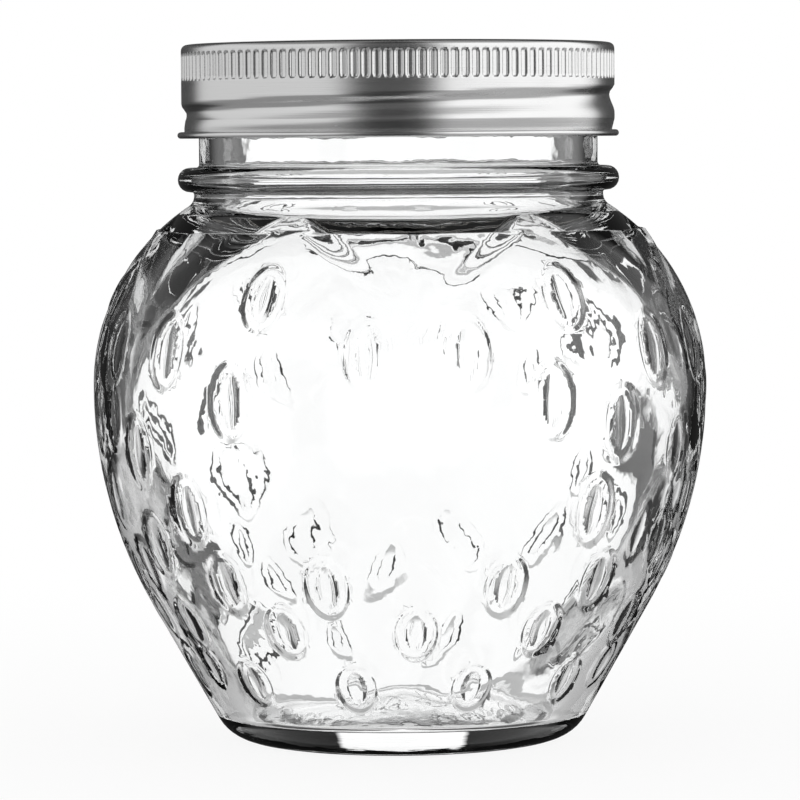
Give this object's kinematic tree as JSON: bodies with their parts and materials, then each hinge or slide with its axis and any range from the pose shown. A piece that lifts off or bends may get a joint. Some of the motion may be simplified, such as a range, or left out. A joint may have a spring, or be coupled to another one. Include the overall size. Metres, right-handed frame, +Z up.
{
  "type": "jam pot",
  "caption": "Clear glass preserve jar shaped like a strawberry, with leaves on the shoulder and seeds in relief, closed by a lid disc under a fluted metal screw band.",
  "frame": {"origin": "middle of the pot's standing ring, on the table", "axes": "+Z up along the pot's axis, -Y out of the bare front panel, +X to the right seen from the front"},
  "size_m": [0.1034, 0.1034, 0.1172],
  "materials": {
    "clear_glass": "polished moulded glass",
    "band_metal": "satin tinplate",
    "disc_metal": "satin tinplate",
    "sealing_compound": "matt"
  },
  "bodies": {
    "jar": {"jar": "clear_glass"},
    "lid_disc": {"lid_disc": "disc_metal", "sealing_ring": "sealing_compound"},
    "screw_band": {"screw_band": "band_metal"}
  },
  "joints": [
    {"name": "lid_lift", "type": "slide", "parent": "jar", "child": "lid_disc", "axis": [0, 0, 1], "range_m": [0, 0.0254]},
    {"name": "band_turn", "type": "hinge", "parent": "lid_disc", "child": "screw_band", "pos_m": [0, 0, 0.1094], "axis": [0, 0, 1], "range_deg": [0, 1440]}
  ],
  "couplings": [
    {"joint": "lid_lift", "follows": "band_turn", "m_per_rad": 0.0010106}
  ]
}
